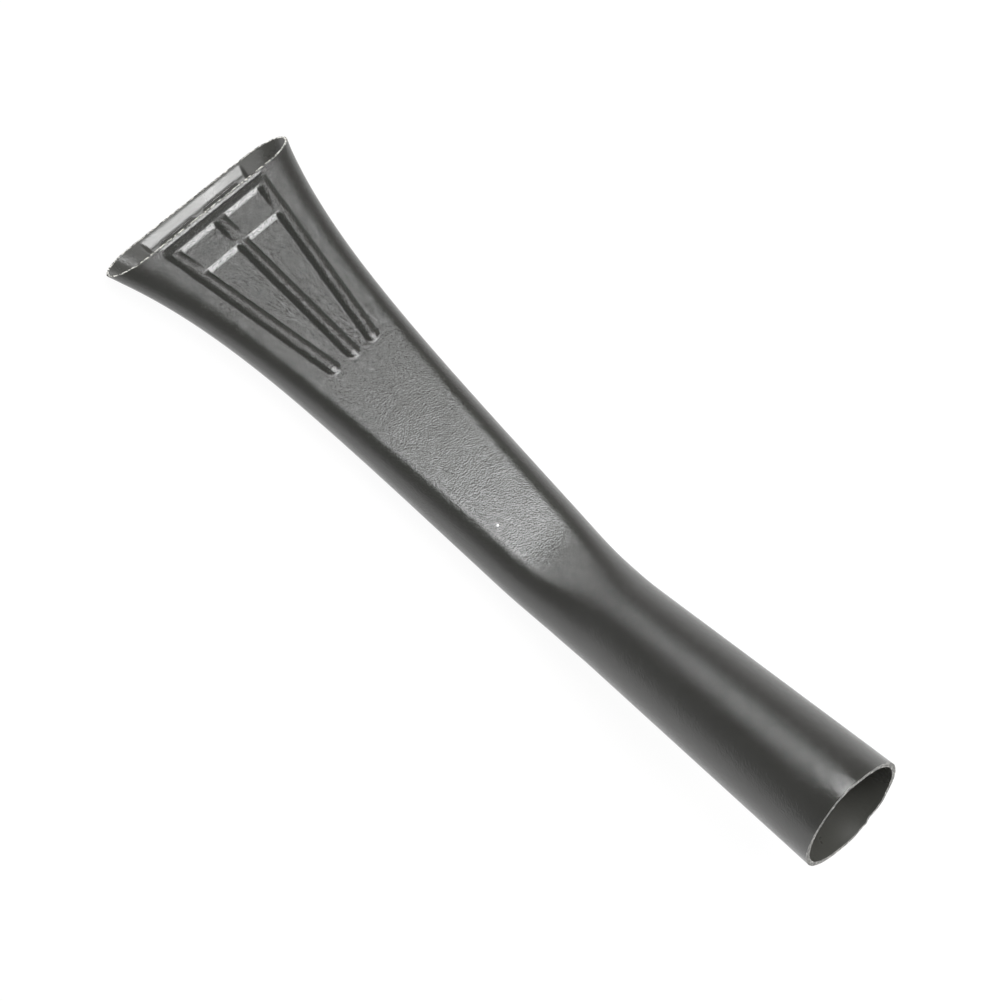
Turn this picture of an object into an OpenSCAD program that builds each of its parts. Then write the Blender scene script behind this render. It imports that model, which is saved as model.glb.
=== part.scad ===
// Claw nozzle for a utility vacuum: one blow-moulded shell, open at both ends.
// It lies on its back as it comes to rest. +X runs along the length to the mouth,
// +Y across it and +Z up. The origin is below the middle of the length, on the floor.

/* [Shell] */
// Thickness of the moulded wall
wall = 1.9; // [1.4:0.1:2.4]

/* [Hose end] */
// Outside diameter at the open end of the tube
hose_end_d = 50.8; // [50:0.2:54]
// Bore of the parallel seat that takes the hose cuff
socket_d = 46.6; // [44:0.1:47]
// Length of that parallel seat
socket_len = 25; // [15:1:40]

/* [Tube] */
// Outside diameter at the neck, the narrowest place
neck_d = 43.8; // [41:0.2:47]
// Length from the corner of the bend to the open end
tube_len = 148.5; // [100:0.5:220]
// Straight stretch of neck between the bend and the tapered tube
neck_len = 8; // [5:0.5:15]

/* [Bend] */
// Angle between the fan and the tube
bend_angle = 23.4; // [12:0.1:32]
// Radius of the bend along the middle line
bend_radius = 102; // [70:1:120]
// Length over which the flat fan turns into the round tube
rounding_len = 40; // [30:1:50]

/* [Fan] */
// Length from the corner of the bend to the middle of the mouth
fan_len = 252; // [220:1:300]
// Width at the bend
fan_neck_w = 45.6; // [43:0.2:49]
// Width that the mouth would have if the sides ran on straight
fan_straight_w = 70; // [62:1:84]
// Width over the flared corners of the mouth
mouth_w = 106; // [92:1:120]
// How late the sides flare out, where a higher value is later
flare_power = 5; // [3:0.5:7]
// Thickness over the two flat faces at the bend
fan_neck_h = 35.5; // [32:0.5:40]
// Thickness over the two flat faces at the mouth
mouth_h = 21.5; // [20:0.5:28]
// Slant of the mouth away from square across the fan
mouth_slant = 42.8; // [30:0.1:48]

/* [Flat faces] */
// Width of a flat face at the bend
face_neck_w = 18; // [14:0.5:26]
// Width that a flat face would have at the mouth if its edges ran on straight
face_mouth_w = 55; // [48:0.5:60]
// Extra width of a flat face at the mouth, where its edges flare with the sides
face_flare_w = 16; // [0:0.5:20]

/* [Ribs] */
// Height of a rib above the flat face
rib_h = 1.3; // [0.8:0.1:1.8]
// Width of a rib at its foot
rib_w = 7.2; // [6:0.1:8]
// Width of the level crest of a rib
rib_crest_w = 3.4; // [2:0.1:4]
// Distance from the mouth's edge to the middle of the round tips
rib_reach = 92; // [70:0.5:110]
// Distance between the middles of two ribs at their tips
rib_tip_pitch = 11.7; // [10:0.1:13]
// Distance between the middles of two ribs at the mouth
rib_mouth_pitch = 27.4; // [24:0.1:29]

/* [Steps between the ribs] */
// Distance from the mouth's edge to the first row of steps
first_step = 6; // [3:0.1:8]
// Distance from the mouth's edge to the second row of steps
second_step = 21; // [15:0.5:30]
// Drop of each step from the crest of the ribs
step_drop = 2; // [1.2:0.1:2.4]
// Run of the sloping face of each step
step_run = 1.9; // [1.2:0.1:3]
// Width of the plain lip behind the sawn edge
lip_w = 1; // [0.6:0.1:1.4]
// Depth of the small step behind the lip
lip_drop = 0.5; // [0.2:0.1:0.8]

/* [Hidden] */
$fn = 128;

// Share of the outer relief that the inner face of the wall follows
inner_relief_share = 0.7;
// Space kept between the foot of an outer rib and the shoulder's first line
shoulder_gap = 1;
// How far the fan's end is sunk into the tube's wall, along it and below its surfaces
tuck_len = 1;
tuck_depth = 0.1;
// Rows of points along the ribs, the plain faces and the bend
rib_rows = 8;
face_rows = 11;
bend_rows = 12;
// Lines of points from the middle of a face to its edge, and on round a shoulder
face_lines = 9;
shoulder_lines = 7;
quarter = face_lines + shoulder_lines;
around = 4 * quarter;

neck_r = neck_d / 2;
hose_end_r = hose_end_d / 2;
bend_tangent = bend_radius * tan(bend_angle / 2);
bend_arc = bend_radius * bend_angle * PI / 180;
bend_start = fan_len - bend_tangent;
tube_start = bend_start + bend_arc + neck_len;
tube_near = bend_tangent + neck_len;
face_slope = (fan_neck_h - mouth_h) / 2 / fan_len;
rib_end = rib_reach + rib_w / 2;
step_floor = rib_h - step_drop;

// Heights of the rib crests and of the lanes between them, against distance from the mouth
crest_heights = [
    [0, 0],
    [lip_w, 0],
    [lip_w + lip_drop, -lip_drop],
    [first_step, rib_h],
    [rib_end, rib_h]
];
lane_heights = [
    [0, 0],
    [lip_w, 0],
    [lip_w + lip_drop, -lip_drop],
    [first_step, rib_h],
    [first_step + step_run, step_floor],
    [second_step, rib_h],
    [second_step + step_run, step_floor],
    [rib_reach, 0]
];

// Distances from the mouth at which the wall has a row of points
rows = concat(
    [for (height = lane_heights) if (height.x < rib_reach) height.x],
    spaced(second_step + step_run, rib_reach, rib_rows),
    [rib_reach + rib_crest_w / 2, (rib_reach + rib_crest_w / 2 + rib_end) / 2, rib_end],
    spaced(rib_end, bend_start, face_rows),
    spaced(bend_start, tube_start - tuck_len, bend_rows)
);
end_row = tube_start + tuck_len;

function spaced(from, to, steps) = [for (i = [1:steps]) mix(from, to, i / steps)];
function mix(a, b, share) = a + (b - a) * share;
function limit(share) = max(0, min(1, share));
function smooth(share) = limit(share) ^ 2 * (3 - 2 * limit(share));

// How far along the fan a distance from the mouth lies: 1 at the mouth, 0 at the corner
function fan_share(run) = limit(1 - run / fan_len);
function flared(neck_w, straight_w, flare_w, share) =
    mix(neck_w, straight_w, share) + flare_w * share ^ flare_power;
function half_face(run) = flared(face_neck_w, face_mouth_w, face_flare_w, fan_share(run)) / 2;
function half_width(run) =
    flared(fan_neck_w, fan_straight_w, mouth_w - fan_straight_w, fan_share(run)) / 2;
function roundness(run) = smooth((run - fan_len + rounding_len / 2) / rounding_len);
function slant_share(run) = limit((bend_start - run) / (bend_start - rib_end));

// Outside radius of the round wall at a distance from the bend's corner along the tube
function tube_r(reach) =
    mix(neck_r, hose_end_r, max(0, reach - bend_tangent) / (tube_len - bend_tangent));
function round_r(run) = tube_r(bend_tangent + max(0, run - bend_start - bend_arc));

// Middle line: straight along the fan, round the bend and up the tube
function turn(run) = limit((run - bend_start) / bend_arc) * bend_angle;
function past_bend(run) = max(0, run - bend_start - bend_arc);
function middle_x(run) =
    max(bend_tangent, fan_len - run) - bend_radius * sin(turn(run)) - past_bend(run) * cos(turn(run));
function middle_z(run) = bend_radius * (1 - cos(turn(run))) + past_bend(run) * sin(turn(run));

// Sideways place of the outer ribs, and how the lines draw together past their tips
function line_spread(run) = run < rib_reach ? 1 : half_face(run) / half_face(rib_reach);
function rib_middle(run) =
    mix(rib_mouth_pitch, rib_tip_pitch, min(1, run / rib_reach)) * line_spread(run);

function face_lines_y(run) =
    let (
        middle = rib_middle(run),
        foot = rib_w / 2 * line_spread(run),
        crest = rib_crest_w / 2 * line_spread(run)
    )
    [
        0, crest, foot, middle / 2, middle - foot, middle - crest, middle, middle + crest,
        middle + foot, max(half_face(run), middle + foot + shoulder_gap)
    ];

// Height of the relief above the flat face
function on_rib(distance) = limit((rib_w / 2 - distance) / (rib_w - rib_crest_w) * 2);
function relief(run, y) =
    let (
        past_tip = max(0, run - rib_reach),
        middle = rib_middle(run),
        share = max(on_rib(norm([past_tip, y])), on_rib(norm([past_tip, y - middle]))),
        floor_height = y < middle ? lookup(run, lane_heights) : 0
    )
    mix(floor_height, lookup(run, crest_heights), share);

// A quarter of the flat section: half the face, then a quarter ellipse round the shoulder.
// Each point is its y, its share of the half thickness, and the relief there.
function quarter_section(run, inset, line) =
    let (
        face = half_face(run),
        shoulder = half_width(run) - inset - face,
        lines_y = face_lines_y(run),
        edge_angle = asin(limit((lines_y[face_lines] - face) / shoulder)),
        angle = mix(edge_angle, 90, (line - face_lines) / shoulder_lines),
        line_y = line > face_lines ? face + shoulder * sin(angle) : lines_y[line],
        beyond = limit((line_y - face) / shoulder)
    )
    [line_y, sqrt(1 - beyond ^ 2), line < face_lines ? relief(run, line_y) : 0];

// One point of the wall: the flat section turning into the round one, on the middle line
function wall_point(run, inset, spot, tuck = 0) =
    let (
        half = spot % (2 * quarter),
        line = half > quarter ? 2 * quarter - half : half,
        side = spot > 2 * quarter ? -1 : 1,
        up = spot > quarter && spot < 3 * quarter ? -1 : 1,
        form = quarter_section(run, inset, line),
        relief_share = inset > 0 ? inner_relief_share : 1,
        rise = up * form.y,
        middle_h = fan_neck_h / 2 - inset,
        lean = slant_share(run) * rise * tan(mouth_slant),
        flat_x = (fan_len - run - lean * middle_h) / (1 - lean * face_slope),
        face_x = max(0, flat_x),
        flat_z = rise * (middle_h - face_slope * face_x) + up * form.z * relief_share,
        round_share = roundness(run),
        radius = round_r(run) - inset - tuck,
        spot_angle = 360 * spot / around,
        y = mix(side * form.x, radius * sin(spot_angle), round_share),
        z = mix(flat_z, radius * cos(spot_angle), round_share),
        ahead = (flat_x - fan_len + run) * (1 - round_share)
    )
    [
        middle_x(run) + ahead * cos(turn(run)) + z * sin(turn(run)),
        y,
        middle_z(run) - ahead * sin(turn(run)) + z * cos(turn(run))
    ];

function wall_face(inset, tuck) = concat(
    [for (run = rows, spot = [0:around - 1]) wall_point(run, inset, spot)],
    [for (spot = [0:around - 1]) wall_point(end_row, inset, spot, tuck)]
);

outer_points = wall_face(0, tuck_depth);
inner_points = wall_face(wall, -tuck_depth);
row_count = len(rows) + 1;

// The nozzle lies on the heel of the bend and on the tips of the ribs on its back
rib_tip = wall_point(rib_reach + rib_crest_w / 2, 0, 2 * quarter);
back_line = [for (run = rows) wall_point(run, 0, 2 * quarter)];
lie_slope = max([
    for (point = back_line) if (point.x < rib_tip.x) (rib_tip.z - point.z) / (rib_tip.x - point.x)
]);
lie_angle = atan(lie_slope);
far_x = max([for (point = outer_points) point.x * cos(lie_angle) + point.z * sin(lie_angle)]);
near_x = -tube_len * cos(bend_angle + lie_angle) - hose_end_r * sin(bend_angle + lie_angle);
floor_z = min([for (point = outer_points) point.z * cos(lie_angle) - point.x * sin(lie_angle)]);

// The fan and the bend, as one loft with an outer and an inner face
module fan() {
    inner_first = len(outer_points);
    last = row_count - 1;
    polyhedron(
        points = concat(outer_points, inner_points),
        faces = concat(
            [for (row = [0:last - 1], spot = [0:around - 1]) each skin_pair(row, spot, 0, false)],
            [for (row = [0:last - 1], spot = [0:around - 1]) each skin_pair(row, spot, inner_first, true)],
            [for (spot = [0:around - 1]) each edge_pair(0, spot, inner_first, false)],
            [for (spot = [0:around - 1]) each edge_pair(last, spot, inner_first, true)]
        )
    );
}

// Two triangles between two rows, with the diagonal mirrored from one side to the other
function skin_pair(row, spot, first, inward) =
    let (
        a = first + row * around + spot,
        b = first + row * around + (spot + 1) % around,
        c = a + around,
        d = b + around,
        pair = spot < 2 * quarter ? [[a, c, d], [a, d, b]] : [[a, c, b], [b, c, d]]
    )
    inward ? [for (triangle = pair) reversed(triangle)] : pair;

// Two triangles across the thickness of the wall at one end of the loft
function edge_pair(row, spot, inner_first, inward) =
    let (
        a = row * around + spot,
        b = row * around + (spot + 1) % around,
        pair = [[a, b, inner_first + b], [a, inner_first + b, inner_first + a]]
    )
    inward ? [for (triangle = pair) reversed(triangle)] : pair;

function reversed(triangle) = [triangle[2], triangle[1], triangle[0]];

// The tapered tube, with the parallel seat for the hose cuff in its open end
module tube() {
    rotate([0, bend_angle - 90, 0])
        rotate_extrude()
            polygon([
                [tube_r(tube_near) - wall, tube_near],
                [tube_r(tube_near), tube_near],
                [hose_end_r, tube_len],
                [socket_d / 2, tube_len],
                [socket_d / 2, tube_len - socket_len]
            ]);
}

module nozzle() {
    color("#2b2b29")
        translate([-(far_x + near_x) / 2, 0, -floor_z])
            rotate([0, lie_angle, 0])
                union() {
                    fan();
                    tube();
                }
}

nozzle();
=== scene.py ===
import math
import bpy
import numpy as np
from mathutils import Euler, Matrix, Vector


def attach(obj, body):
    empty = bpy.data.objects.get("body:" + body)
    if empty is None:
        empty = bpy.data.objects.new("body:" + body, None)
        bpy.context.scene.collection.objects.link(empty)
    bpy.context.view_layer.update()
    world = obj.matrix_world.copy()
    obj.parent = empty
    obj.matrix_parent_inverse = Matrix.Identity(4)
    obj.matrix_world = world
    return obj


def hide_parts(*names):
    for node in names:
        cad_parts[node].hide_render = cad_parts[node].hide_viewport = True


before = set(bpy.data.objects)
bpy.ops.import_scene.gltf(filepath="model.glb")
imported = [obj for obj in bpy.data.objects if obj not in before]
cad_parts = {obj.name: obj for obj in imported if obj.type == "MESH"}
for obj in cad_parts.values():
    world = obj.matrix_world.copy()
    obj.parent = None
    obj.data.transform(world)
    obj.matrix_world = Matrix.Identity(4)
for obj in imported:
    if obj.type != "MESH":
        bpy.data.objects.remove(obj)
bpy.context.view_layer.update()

millimetre = 0.001


def pickOnly(piece):
    # every operator below works on this piece alone
    bpy.ops.object.select_all(action="DESELECT")
    piece.select_set(True)
    bpy.context.view_layer.objects.active = piece


def addNode(tree, kind, **values):
    # makes a node and sets its sockets by name, and its other settings by attribute
    node = tree.nodes.new(kind)
    for name, value in values.items():
        label = name.replace("_", " ")
        if label in node.inputs:
            node.inputs[label].default_value = value
        else:
            setattr(node, name, value)
    return node


def arithmetic(tree, operation, *values):
    # a maths node; each value is a number or the socket that it comes from
    node = addNode(tree, "ShaderNodeMath", operation=operation)
    for socket, value in zip(node.inputs, values):
        if isinstance(value, bpy.types.NodeSocket):
            tree.links.new(value, socket)
        else:
            socket.default_value = value
    return node.outputs[0]


def mappedRange(tree, value, fromLow, fromHigh, toLow, toHigh):
    node = tree.nodes.new("ShaderNodeMapRange")
    for socket, limit in zip(node.inputs[1:5], (fromLow, fromHigh, toLow, toHigh)):
        socket.default_value = limit
    tree.links.new(value, node.inputs["Value"])
    return node.outputs["Result"]


# camera, floor and light
photoView = {
    "place": (-0.09106, 0.14826, 0.66192),  # metres
    "turn": (14.6256, -4.1526, -134.2437),  # degrees, XYZ
    "lens": 54.464,
}
bpy.ops.object.camera_add(
    location=photoView["place"], rotation=[math.radians(v) for v in photoView["turn"]]
)
camera = bpy.context.object
camera.data.lens = photoView["lens"]
camera.data.sensor_width = 36
bpy.context.scene.camera = camera

studio = {
    "floorSize": 8.0,
    "floorColour": (0.93, 0.93, 0.92),
    "floorRoughness": 0.9,
    "floorGlow": 0.95,  # share of plain white in what the camera sees of the floor
    "floorGleam": 0.9,  # the same share where the plastic mirrors the floor
    "worldAbove": 0.19,  # grey overhead
    "worldAround": 0.4,  # and low down, all round
    "worldHeights": (0.15, 0.5),  # sines of the heights between which it changes
    "aim": (0.0, 0.0, 0.03),
    # each lamp hangs over the object: lean towards -Y and towards +X from straight above in
    # degrees, distance in metres, size along X and along Y, watts
    "lamps": {
        "faceBox": (7, 1, 1.3, 0.5, 0.56, 10.2),
        "mouthBox": (15, -17, 1.3, 0.36, 0.6, 8.0),
        "stepBox": (15, -59, 1.3, 0.6, 0.62, 19.0),
        "tubeBox": (14, 41, 3.0, 0.2, 1.7, 19.0),
    },
}


def addStudio():
    bpy.ops.mesh.primitive_plane_add(size=studio["floorSize"], location=(0, 0, 0))
    floor = bpy.context.object
    floor.name = "floor"
    cover = bpy.data.materials.new("paleFloor")
    cover.use_nodes = True
    tree = cover.node_tree
    paint = tree.nodes["Principled BSDF"]
    paint.inputs["Base Color"].default_value = (*studio["floorColour"], 1)
    paint.inputs["Roughness"].default_value = studio["floorRoughness"]
    glow = addNode(tree, "ShaderNodeEmission", Color=(1, 1, 1, 1), Strength=1.0)
    rays = tree.nodes.new("ShaderNodeLightPath").outputs
    seen = arithmetic(tree, "MULTIPLY", rays["Is Camera Ray"], studio["floorGlow"])
    share = arithmetic(tree, "MULTIPLY_ADD", rays["Is Glossy Ray"], studio["floorGleam"], seen)
    mix = tree.nodes.new("ShaderNodeMixShader")
    tree.links.new(share, mix.inputs["Fac"])
    tree.links.new(paint.outputs["BSDF"], mix.inputs[1])
    tree.links.new(glow.outputs["Emission"], mix.inputs[2])
    tree.links.new(mix.outputs["Shader"], tree.nodes["Material Output"].inputs["Surface"])
    floor.data.materials.append(cover)

    world = bpy.data.worlds.new("studioWorld")
    bpy.context.scene.world = world
    world.use_nodes = True
    tree = world.node_tree
    direction = tree.nodes.new("ShaderNodeTexCoord")
    parts = tree.nodes.new("ShaderNodeSeparateXYZ")
    tree.links.new(direction.outputs["Generated"], parts.inputs["Vector"])
    greys = (studio["worldAround"], studio["worldAbove"])
    grey = mappedRange(tree, parts.outputs["Z"], *studio["worldHeights"], *greys)
    tree.links.new(grey, tree.nodes["Background"].inputs["Color"])

    aim = Vector(studio["aim"])
    for name, (leanY, leanX, distance, sizeX, sizeY, watts) in studio["lamps"].items():
        turn = Euler((math.radians(leanY), math.radians(leanX), 0))
        towards = turn.to_matrix() @ Vector((0, 0, distance))
        bpy.ops.object.light_add(type="AREA", location=aim + towards, rotation=turn)
        lamp = bpy.context.object
        lamp.name = name
        lamp.data.shape = "RECTANGLE"
        lamp.data.size = sizeX
        lamp.data.size_y = sizeY
        lamp.data.energy = watts
    bpy.context.scene.view_settings.view_transform = "Standard"
    print("camera, floor and lamps are in place")


addStudio()


shell = {  # millimetres and degrees
    "wall": 1.9,
    "mouthWall": 1.5,
    "cornerWall": 1.1,
    "thinReach": 60.0,
    "hoseEnd": 50.8,
    "socket": 46.6,
    "socketLength": 25.0,
    "neck": 43.8,
    "tubeLength": 148.5,
    "neckLength": 8.0,
    "bendAngle": 23.4,
    "bendRadius": 102.0,
    "bendSpread": 1.7,
    "roundingLength": 56.0,
    "fanLength": 252.0,
    "fanNeckWidth": 45.6,
    "fanStraightWidth": 70.0,
    "mouthWidth": 106.0,
    "flarePower": 5.0,
    "fanNeckHeight": 35.5,
    "mouthHeight": 21.5,
    "mouthSlant": 42.8,
    "faceNeckWidth": 18.0,
    "faceMouthWidth": 55.0,
    "faceFlareWidth": 16.0,
    "lieAngle": 1.10328,
    "lieShift": (-57.8975, 0.0, 17.5954),
    "smoothAngle": 32.0,  # edges sharper than this stay sharp
}
cuts = {
    "mouthSkew": 0.68,  # degrees by which the saw ran out of square
    "tubeEndReach": 12.0,  # millimetres over which the tube follows its uneven end
    # how far the hand-cut end of the tube stands out: degrees round it, millimetres
    "tubeEnd": (
        (0, -0.4), (12, -0.55), (30, -0.5), (40, -0.4), (52, -0.5), (93, -0.35), (108, -0.1),
        (122, -0.2), (157, 0), (180, 0.5), (189, 0.35), (197, 0.6), (203, 0.05), (212, 0.55),
        (224, 0.75), (236, 0.5), (261, 0.7), (300, 0.5), (340, 0.2), (360, -0.4),
    ),
}
relief = {  # millimetres
    "ribHeight": 1.3,
    "ribWidth": 7.2,
    "ribReach": 92.0,
    "ribRoundness": 2.2,  # power of the rib's cross-section
    "ribTipPitch": 11.7,
    "ribMouthPitch": 27.4,
    "firstStep": 6.0,
    "secondStep": 21.2,
    "stepDrop": 2.0,
    "stepRun": 1.9,
    "lipWidth": 0.5,
    "lipDrop": 0.5,
    "softness": 0.25,
    "innerSoftness": 0.6,
    "innerRibReach": 4.2,
    "innerSteepness": 1.8,
    "footMargin": 0.6,  # lines of the grid past the foot of a rib
    "sideMargin": 0.8,  # and at least this far past the outer rib
}
bend = math.radians(shell["bendAngle"])
slant = math.tan(math.radians(shell["mouthSlant"]))
skew = math.tan(math.radians(cuts["mouthSkew"]))
bendTangent = shell["bendRadius"] * math.tan(bend / 2)
bendArc = shell["bendRadius"] * bend
bendStart = shell["fanLength"] - bendTangent
tubeStart = bendStart + bendArc + shell["neckLength"]
tubeEnd = bendStart + bendArc + shell["tubeLength"] - bendTangent
faceSlope = (shell["fanNeckHeight"] - shell["mouthHeight"]) / 2 / shell["fanLength"]
ribEnd = relief["ribReach"] + relief["ribWidth"] / 2


# the middle line: straight through the fan, a bend that starts and ends gently, straight again
pathRuns = np.linspace(0, tubeEnd, 4001)
bendMiddle = bendStart + bendArc / 2
bendShare = np.clip((pathRuns - bendMiddle) / (bendArc * shell["bendSpread"]) + 0.5, 0, 1)
pathTurns = bend * bendShare**2 * (3 - 2 * bendShare)
pathStep = pathRuns[1] - pathRuns[0]
pathX = bendTangent + bendStart - np.append(0, np.cumsum(np.cos(pathTurns)[:-1])) * pathStep
pathZ = np.append(0, np.cumsum(np.sin(pathTurns)[:-1])) * pathStep


def mixed(low, high, share):
    return low + (high - low) * share


def eased(share):
    share = np.clip(share, 0, 1)
    return share * share * (3 - 2 * share)


def flared(neck, straight, flare, run):
    share = np.clip(1 - run / shell["fanLength"], 0, 1)
    return mixed(neck, straight, share) + flare * share ** shell["flarePower"]


def halfFace(run):
    flare = shell["faceFlareWidth"]
    return flared(shell["faceNeckWidth"], shell["faceMouthWidth"], flare, run) / 2


def halfWidth(run):
    flare = shell["mouthWidth"] - shell["fanStraightWidth"]
    return flared(shell["fanNeckWidth"], shell["fanStraightWidth"], flare, run) / 2


def ribMiddle(run):
    # how far out a side rib's middle lies, and how much wider the ribs get past their tips
    share = np.minimum(1, run / relief["ribReach"])
    spread = np.where(run < relief["ribReach"], 1, halfFace(run) / halfFace(relief["ribReach"]))
    return mixed(relief["ribMouthPitch"], relief["ribTipPitch"], share) * spread, spread


def heightAlong(run, table, softness):
    # the table's heights with their corners rounded a little
    steps = np.linspace(-1, 1, 7) * softness
    places, heights = zip(*table)
    return np.mean([np.interp(run + step, places, heights) for step in steps], axis=0)


# heights of the rib crests and of the lanes between them, against distance from the mouth
lipEnd = relief["lipWidth"] + relief["lipDrop"]
floorHeight = relief["ribHeight"] - relief["stepDrop"]
crestTable = (
    (0, 0), (relief["lipWidth"], 0), (lipEnd, -relief["lipDrop"]),
    (relief["firstStep"], relief["ribHeight"]), (ribEnd, relief["ribHeight"]),
)
laneTable = (
    (0, 0), (relief["lipWidth"], 0), (lipEnd, -relief["lipDrop"]),
    (relief["firstStep"], relief["ribHeight"]),
    (relief["firstStep"] + relief["stepRun"], floorHeight),
    (relief["secondStep"], relief["ribHeight"]),
    (relief["secondStep"] + relief["stepRun"], floorHeight),
    (relief["ribReach"], 0),
)
# the inside follows with one smooth ramp behind the mouth
innerCrestTable = ((0, 0), (0.7, 0), (6.2, 1.3), (9.5, 0.9), (ribEnd, 0.9))
innerLaneTable = ((0, 0), (0.7, 0), (6.2, 1.3), (9.0, 0), (ribEnd, 0))


def reliefHeight(run, y, isInside):
    # three ribs with round tips, and the saw-tooth lanes between them
    middle = ribMiddle(run)[0]
    pastTip = np.maximum(0, run - relief["ribReach"])
    nearest = np.minimum(np.hypot(pastTip, y), np.hypot(pastTip, y - middle))
    inside = np.clip(1 - nearest / (relief["ribWidth"] / 2), 0, 1)
    share = 1 - (1 - inside) ** relief["ribRoundness"]
    lanes, crests, softness = laneTable, crestTable, relief["softness"]
    if isInside:
        share = eased((1 - nearest / relief["innerRibReach"]) * relief["innerSteepness"])
        lanes, crests, softness = innerLaneTable, innerCrestTable, relief["innerSoftness"]
    lane = np.where(y < middle, heightAlong(run, lanes, softness), 0)
    return mixed(lane, heightAlong(run, crests, softness), share)


def linesAcross(run):
    # sideways places of the grid's lines over half a flat face, closer together on the ribs
    middle, spread = ribMiddle(run)
    foot = relief["ribWidth"] / 2 + relief["footMargin"]
    centreRib = np.linspace(0, foot, 9) * spread
    sideRib = middle + np.linspace(-foot, foot, 17) * spread
    lane = np.linspace(centreRib[-1], sideRib[0], 7)[1:-1]
    edge = max(float(halfFace(run)), float(sideRib[-1] + relief["sideMargin"] * spread))
    margin = np.linspace(sideRib[-1], edge, 4)[1:]
    return np.concatenate([centreRib, lane, sideRib, margin])


def allRound(quarter, otherSide, otherFace):
    # mirrors a quarter of the outline to the whole: top, side, bottom, other side
    half = np.concatenate([quarter, otherFace * quarter[-2::-1]])
    return np.concatenate([half, otherSide * half[-2:0:-1]])


def wallRow(run, topInset, sideInset):
    # one closed row of points at a distance from the mouth, on the flat outline first
    lines = linesAcross(run)
    face = float(halfFace(run))
    shoulder = float(halfWidth(run)) - sideInset - face
    firstAngle = math.asin(min(1, (lines[-1] - face) / shoulder))
    angles = np.linspace(firstAngle, math.pi / 2, 17)[1:]
    quarterY = np.concatenate([lines, face + shoulder * np.sin(angles)])
    beyond = np.clip((quarterY - face) / shoulder, 0, 1)
    bump = np.where(quarterY < lines[-1], reliefHeight(run, quarterY, topInset > 0), 0)
    flatY = allRound(quarterY, -1, 1)
    rise = allRound(np.sqrt(1 - beyond**2), 1, -1)
    bump = allRound(bump, 1, -1)
    middleHeight = shell["fanNeckHeight"] / 2 - topInset
    lean = np.clip((bendStart - run) / (bendStart - ribEnd), 0, 1) * rise * slant
    askew = skew * flatY * max(0, 1 - run / relief["firstStep"])
    flatX = (shell["fanLength"] - run + askew - lean * middleHeight) / (1 - lean * faceSlope)
    flatZ = rise * (middleHeight - faceSlope * np.maximum(0, flatX))

    # the round outline of the tube, met point for point by distance round the flat one
    steps = np.hypot(np.diff(flatY, append=flatY[0]), np.diff(flatZ, append=flatZ[0]))
    around = np.cumsum(np.append(0, steps[:-1])) / steps.sum() * 2 * math.pi
    radius = tubeRadius(run, topInset)
    roundStart = shell["fanLength"] - shell["roundingLength"] / 2
    roundShare = eased((run - roundStart) / shell["roundingLength"])
    y = mixed(flatY, radius * np.sin(around), roundShare)
    z = mixed(flatZ + bump, radius * np.cos(around), roundShare)
    ahead = (flatX - shell["fanLength"] + run) * (1 - roundShare)

    # onto the middle line, which runs along the fan, round the bend and up the tube
    turn = float(np.interp(run, pathRuns, pathTurns))
    standsOut = np.interp(np.degrees(around), *zip(*cuts["tubeEnd"]))
    past = standsOut * max(0, 1 - (tubeEnd - run) / cuts["tubeEndReach"])
    middleX = np.interp(run, pathRuns, pathX) - past * math.cos(turn)
    middleZ = np.interp(run, pathRuns, pathZ) + past * math.sin(turn)
    x = middleX + ahead * math.cos(turn) + z * math.sin(turn)
    z = middleZ - ahead * math.sin(turn) + z * math.cos(turn)
    return np.stack([x, y, z], axis=1)


def tubeRadius(run, inset):
    # the outside tapers evenly, the inside ends in a parallel seat for the hose
    past = max(0, run - bendStart - bendArc)
    taper = (shell["hoseEnd"] - shell["neck"]) / 2 / (shell["tubeLength"] - bendTangent)
    if inset == 0 or past < shell["neckLength"]:
        return shell["neck"] / 2 + taper * past - inset
    nearRadius = shell["neck"] / 2 + taper * shell["neckLength"] - inset
    straight = shell["tubeLength"] - bendTangent - shell["socketLength"] - shell["neckLength"]
    share = min(1, (past - shell["neckLength"]) / straight)
    return mixed(nearRadius, shell["socket"] / 2, share)


def inRowFrame(points):
    lie = math.radians(shell["lieAngle"])
    x = points[..., 0] * math.cos(lie) + points[..., 2] * math.sin(lie)
    z = points[..., 2] * math.cos(lie) - points[..., 0] * math.sin(lie)
    moved = np.stack([x, points[..., 1], z], axis=-1) + shell["lieShift"]
    return moved * millimetre


def wrappedGrid(name, rows):
    # a grid primitive laid round the nozzle, with its two long sides merged
    count, columns = rows.shape[:2]
    bpy.ops.mesh.primitive_grid_add(x_subdivisions=columns, y_subdivisions=count - 1, size=0.1)
    piece = bpy.context.object
    piece.name = name
    closed = np.concatenate([rows, rows[:, :1]], axis=1)
    piece.data.vertices.foreach_set("co", closed.reshape(-1).astype(np.float32))
    piece.data.update()
    pickOnly(piece)
    bpy.ops.object.mode_set(mode="EDIT")
    bpy.ops.mesh.select_all(action="SELECT")
    bpy.ops.mesh.remove_doubles(threshold=1e-7)
    bpy.ops.object.mode_set(mode="OBJECT")
    return piece


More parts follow.
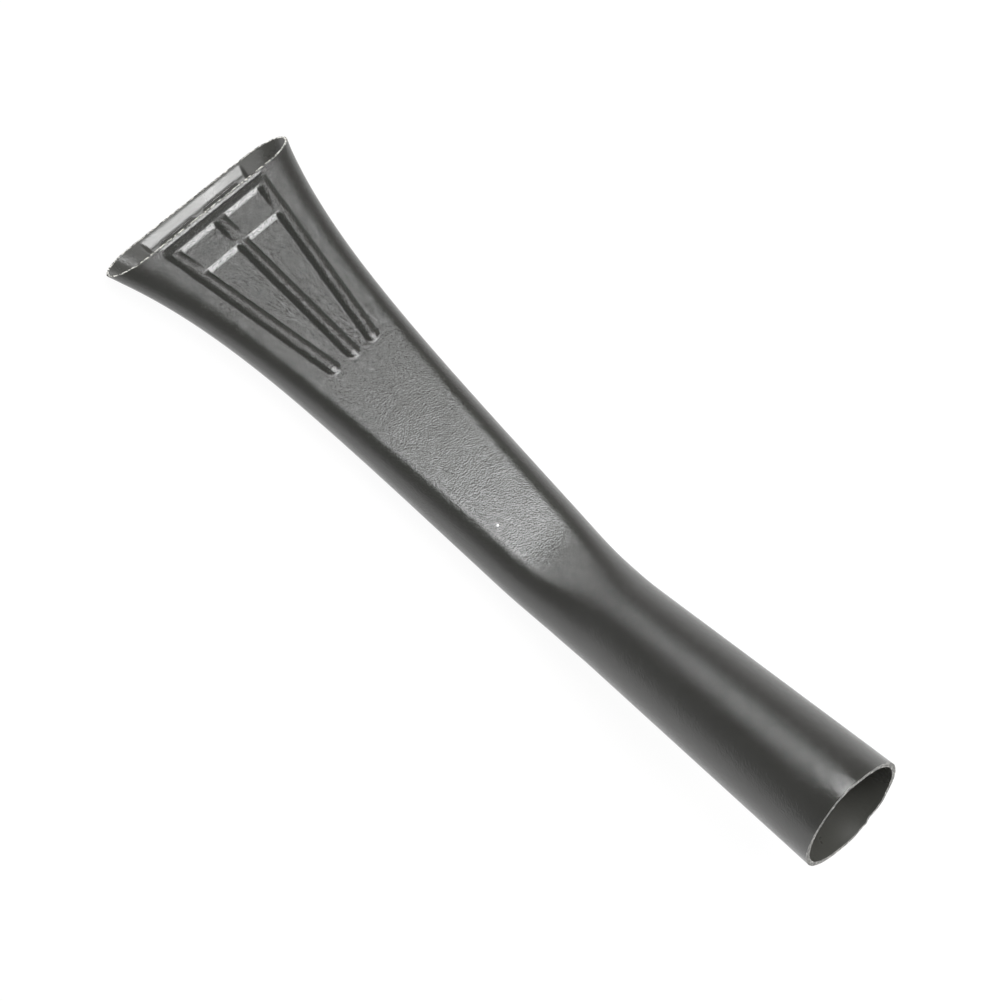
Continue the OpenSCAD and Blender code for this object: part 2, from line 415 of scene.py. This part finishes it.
outerRuns = np.concatenate([
    np.arange(0, 9.2, 0.4), np.arange(10, 20, 1.25), np.arange(20.4, 25.4, 0.4),
    np.linspace(26, 86, 22), np.arange(87, 98, 0.55), np.linspace(98.5, bendStart, 26),
    np.linspace(bendStart, tubeStart, 22)[1:], np.linspace(tubeStart, tubeEnd, 22)[1:],
])
seatStart = tubeEnd - shell["socketLength"]
innerRuns = np.concatenate([
    np.arange(0, 9.2, 0.8), np.arange(10, 20, 2.5), np.arange(20.5, 25.4, 0.8),
    np.linspace(27, 86, 14), np.arange(88, 98, 2.0), np.linspace(100, bendStart, 18),
    np.linspace(bendStart, tubeStart, 14)[1:],
    np.linspace(tubeStart, seatStart, 10)[1:], np.linspace(seatStart, tubeEnd, 4)[1:],
])


def readPoints(piece):
    points = np.empty(len(piece.data.vertices) * 3, np.float32)
    piece.data.vertices.foreach_get("co", points)
    return points.reshape(-1, 3).astype(float)


def pickVertices(piece, chosen):
    # edit mode opens with exactly these vertices picked
    pickOnly(piece)
    bpy.ops.object.mode_set(mode="EDIT")
    bpy.ops.mesh.select_mode(type="VERT")
    bpy.ops.mesh.select_all(action="DESELECT")
    bpy.ops.object.mode_set(mode="OBJECT")
    piece.data.vertices.foreach_set("select", chosen)
    bpy.ops.object.mode_set(mode="EDIT")


def closeRim(piece, isMouth, slotIndex, burr):
    # bridges the two open edges at one end, then leaves a torn burr along both edges
    pickOnly(piece)
    bpy.ops.object.mode_set(mode="EDIT")
    bpy.ops.mesh.select_mode(type="VERT")
    bpy.ops.mesh.select_all(action="DESELECT")
    bpy.ops.mesh.select_non_manifold()
    bpy.ops.object.mode_set(mode="OBJECT")
    isOpen = np.empty(len(piece.data.vertices), bool)
    piece.data.vertices.foreach_get("select", isOpen)
    pickVertices(piece, isOpen & ((readPoints(piece)[:, 0] > 0) == isMouth))
    bpy.ops.mesh.bridge_edge_loops()
    piece.active_material_index = slotIndex
    bpy.ops.object.material_slot_assign()
    bpy.ops.mesh.inset(thickness=burr["width"], depth=-burr["height"], use_boundary=True)
    piece.active_material_index = slotIndex + 1
    bpy.ops.object.material_slot_assign()
    bpy.ops.transform.vertex_random(offset=burr["unevenness"], seed=5)
    bpy.ops.object.mode_set(mode="OBJECT")


# torn edges left by the saw, in metres
mouthBurr = {"width": 0.0005, "height": 0.0002, "unevenness": 0.00018}
tubeBurr = {"width": 0.0003, "height": 0.00005, "unevenness": 0.00008}


def addNozzle(finishes):
    def innerRow(run):
        share = eased(run / shell["thinReach"])
        topInset = mixed(shell["mouthWall"], shell["wall"], share)
        sideInset = mixed(shell["cornerWall"], shell["wall"], share)
        return wallRow(run, topInset, sideInset)

    outerRows = np.array([wallRow(run, 0, 0) for run in outerRuns])
    innerRows = np.array([innerRow(run) for run in innerRuns])
    outer = wrappedGrid("nozzleShell", inRowFrame(outerRows))
    inner = wrappedGrid("innerSkin", inRowFrame(innerRows))
    bpy.ops.object.mode_set(mode="EDIT")
    bpy.ops.mesh.select_all(action="SELECT")
    bpy.ops.mesh.flip_normals()
    bpy.ops.object.mode_set(mode="OBJECT")
    for finish in finishes:
        outer.data.materials.append(finish)
        inner.data.materials.append(finish)
    for face in inner.data.polygons:
        face.material_index = 1
    pickOnly(inner)
    outer.select_set(True)
    bpy.context.view_layer.objects.active = outer
    bpy.ops.object.join()
    closeRim(outer, True, 2, mouthBurr)
    closeRim(outer, False, 4, tubeBurr)
    bpy.ops.object.shade_smooth_by_angle(angle=math.radians(shell["smoothAngle"]))
    print("nozzle shell:", len(outer.data.vertices), "vertices")
    return outer


grain = {
    "size": 0.0006,  # metres from one pebble to the next
    "depth": 0.00015,  # metres
    "cellShare": -0.5,  # how much the pebbles' cells are sunk into the noise
    "distortion": 0.4,
    "wrinkleSize": 0.003,  # metres
    "wrinkleShare": 0.2,
    "mottleScale": 60.0,
    "mottleRange": (0.3, 0.7),
    "mottleSpread": 0.05,  # by which the roughness rises and falls
    "roughness": 0.2,
    "specularLevel": 1.0,
}


def newGroup(name, inputs, outputs):
    group = bpy.data.node_groups.new(name, "ShaderNodeTree")
    for socket, default in inputs:
        made = group.interface.new_socket(socket, in_out="INPUT", socket_type="NodeSocketFloat")
        made.default_value = default
    for socket in outputs:
        group.interface.new_socket(socket, in_out="OUTPUT", socket_type="NodeSocketFloat")
    start = group.nodes.new("NodeGroupInput")
    end = group.nodes.new("NodeGroupOutput")
    return group, start, end


def mouldGrainGroup():
    # the blasted mould's texture: small pebbles in wider soft wrinkles
    group, start, end = newGroup("mouldGrain", [("Cells", 900.0)], ["Height", "Mottle"])
    place = group.nodes.new("ShaderNodeTexCoord")
    pebbles = addNode(
        group, "ShaderNodeTexNoise", Detail=2.0, Roughness=0.5, Distortion=grain["distortion"]
    )
    cells = addNode(group, "ShaderNodeTexVoronoi", feature="SMOOTH_F1", Smoothness=0.5)
    wrinkles = addNode(group, "ShaderNodeTexNoise", Scale=1 / grain["wrinkleSize"], Detail=1.0)
    mottle = addNode(group, "ShaderNodeTexNoise", Scale=grain["mottleScale"], Detail=4.0)
    group.links.new(start.outputs["Cells"], pebbles.inputs["Scale"])
    group.links.new(start.outputs["Cells"], cells.inputs["Scale"])
    for node in (pebbles, cells, wrinkles, mottle):
        group.links.new(place.outputs["Object"], node.inputs["Vector"])
    sunk, folded = cells.outputs["Distance"], wrinkles.outputs["Fac"]
    height = arithmetic(group, "MULTIPLY_ADD", sunk, grain["cellShare"], pebbles.outputs["Fac"])
    height = arithmetic(group, "MULTIPLY_ADD", folded, grain["wrinkleShare"], height)
    group.links.new(height, end.inputs["Height"])
    group.links.new(mottle.outputs["Fac"], end.inputs["Mottle"])
    return group


mouldGrain = mouldGrainGroup()


marks = {  # metres
    "dustPlace": (-0.0122, 0.0093, 0.0332),
    "dustSize": 0.00045,
    "dustColour": (0.85, 0.85, 0.83),
    # small blisters of the blown wall: place, radius
    "blisters": (((0.0552, 0.0011, 0.03), 0.0009), ((0.1666, -0.0313, 0.0248), 0.001)),
    "blisterHeight": 1.2,  # as a share of the grain's depth
    # the grain is worn smoother at the tube's end: axis, where it starts and ends, what is left
    "tubeAxis": (-0.909938, 0.0, 0.414745),
    "wearFrom": 0.197,
    "wearTo": 0.207,
    "grainLeft": 0.35,
}


def distanceFrom(tree, place, point):
    node = addNode(tree, "ShaderNodeVectorMath", operation="DISTANCE")
    node.inputs[1].default_value = point
    tree.links.new(place.outputs["Object"], node.inputs[0])
    return node.outputs["Value"]


def addMarks(tree, paint, colour, height):
    # dust on the plastic as colour, blisters and worn grain as height
    place = tree.nodes.new("ShaderNodeTexCoord")
    away = distanceFrom(tree, place, marks["dustPlace"])
    dust = arithmetic(tree, "LESS_THAN", away, marks["dustSize"])
    mix = addNode(tree, "ShaderNodeMix", data_type="RGBA")
    mix.inputs[6].default_value = (*colour, 1)  # the two colours of a colour mix
    mix.inputs[7].default_value = (*marks["dustColour"], 1)
    tree.links.new(dust, mix.inputs[0])
    tree.links.new(mix.outputs[2], paint.inputs["Base Color"])
    along = addNode(tree, "ShaderNodeVectorMath", operation="DOT_PRODUCT")
    along.inputs[1].default_value = marks["tubeAxis"]
    tree.links.new(place.outputs["Object"], along.inputs[0])
    worn = mappedRange(
        tree, along.outputs["Value"], marks["wearFrom"], marks["wearTo"], 1, marks["grainLeft"]
    )
    height = arithmetic(tree, "MULTIPLY", height, worn)
    for point, radius in marks["blisters"]:
        away = distanceFrom(tree, place, point)
        blister = mappedRange(tree, away, 0, radius, marks["blisterHeight"], 0)
        height = arithmetic(tree, "ADD", height, blister)
    return height


def plasticFinish(name, colour, roughness, grainDepth, cells, isOutside):
    finish = bpy.data.materials.new(name)
    finish.use_nodes = True
    tree = finish.node_tree
    paint = tree.nodes["Principled BSDF"]
    paint.inputs["Base Color"].default_value = (*colour, 1)
    paint.inputs["Roughness"].default_value = roughness
    paint.inputs["Specular IOR Level"].default_value = grain["specularLevel"]
    texture = tree.nodes.new("ShaderNodeGroup")
    texture.node_tree = mouldGrain
    texture.inputs["Cells"].default_value = cells
    bump = addNode(tree, "ShaderNodeBump", Strength=1.0, Distance=grainDepth)
    height = texture.outputs["Height"]
    if isOutside:
        height = addMarks(tree, paint, colour, height)
    tree.links.new(height, bump.inputs["Height"])
    tree.links.new(bump.outputs["Normal"], paint.inputs["Normal"])
    limits = (roughness - grain["mottleSpread"], roughness + grain["mottleSpread"])
    rough = mappedRange(tree, texture.outputs["Mottle"], *grain["mottleRange"], *limits)
    tree.links.new(rough, paint.inputs["Roughness"])
    return finish


sawn = {"roughness": 0.6, "flecksPerMetre": 1000.0}


def sawnFinish(name, dark, pale, low, high):
    # sawn plastic: dark with pale torn flecks, of which there are more where low is lower
    finish = bpy.data.materials.new(name)
    finish.use_nodes = True
    tree = finish.node_tree
    paint = tree.nodes["Principled BSDF"]
    paint.inputs["Roughness"].default_value = sawn["roughness"]
    place = tree.nodes.new("ShaderNodeTexCoord")
    flecks = addNode(
        tree, "ShaderNodeTexNoise", Scale=sawn["flecksPerMetre"], Detail=2.0, Roughness=0.5
    )
    ramp = tree.nodes.new("ShaderNodeValToRGB")
    ramp.color_ramp.elements[0].position = low
    ramp.color_ramp.elements[0].color = (dark, dark, dark * 0.94, 1)
    ramp.color_ramp.elements[1].position = high
    ramp.color_ramp.elements[1].color = (pale, pale * 0.99, pale * 0.93, 1)
    tree.links.new(place.outputs["Object"], flecks.inputs["Vector"])
    tree.links.new(flecks.outputs["Fac"], ramp.inputs["Fac"])
    tree.links.new(ramp.outputs["Color"], paint.inputs["Base Color"])
    return finish


plastic = {
    "outside": (0.022, 0.0222, 0.0197),
    # the inside is the same black plastic, but its colour is made twice as light as the
    # outside's: painted light, standing in for light that hardly reaches inside the shell
    "inside": (0.045, 0.0452, 0.0405),
    "insideRoughness": 0.3,
    "insideDepth": 0.3,  # as a share of the outside's grain depth
    "insideCells": 600.0,
}
finishes = [
    plasticFinish(
        "mouldedBlack", plastic["outside"], grain["roughness"], grain["depth"],
        1 / grain["size"], True,
    ),
    # the inner finish's paler black is painted light, not a different plastic
    plasticFinish(
        "innerBlackPaintedLight", plastic["inside"], plastic["insideRoughness"],
        grain["depth"] * plastic["insideDepth"], plastic["insideCells"], False,
    ),
    sawnFinish("mouthBurr", 0.03, 0.9, 0.45, 0.53),
    sawnFinish("mouthSawn", 0.02, 0.7, 0.5, 0.58),
    sawnFinish("tubeBurr", 0.03, 0.36, 0.47, 0.64),
    sawnFinish("tubeSawn", 0.03, 0.22, 0.45, 0.7),
]
print("finishes are made")


nozzle = addNozzle(finishes)
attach(nozzle, "root")
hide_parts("nozzle")
bpy.ops.object.select_all(action="DESELECT")
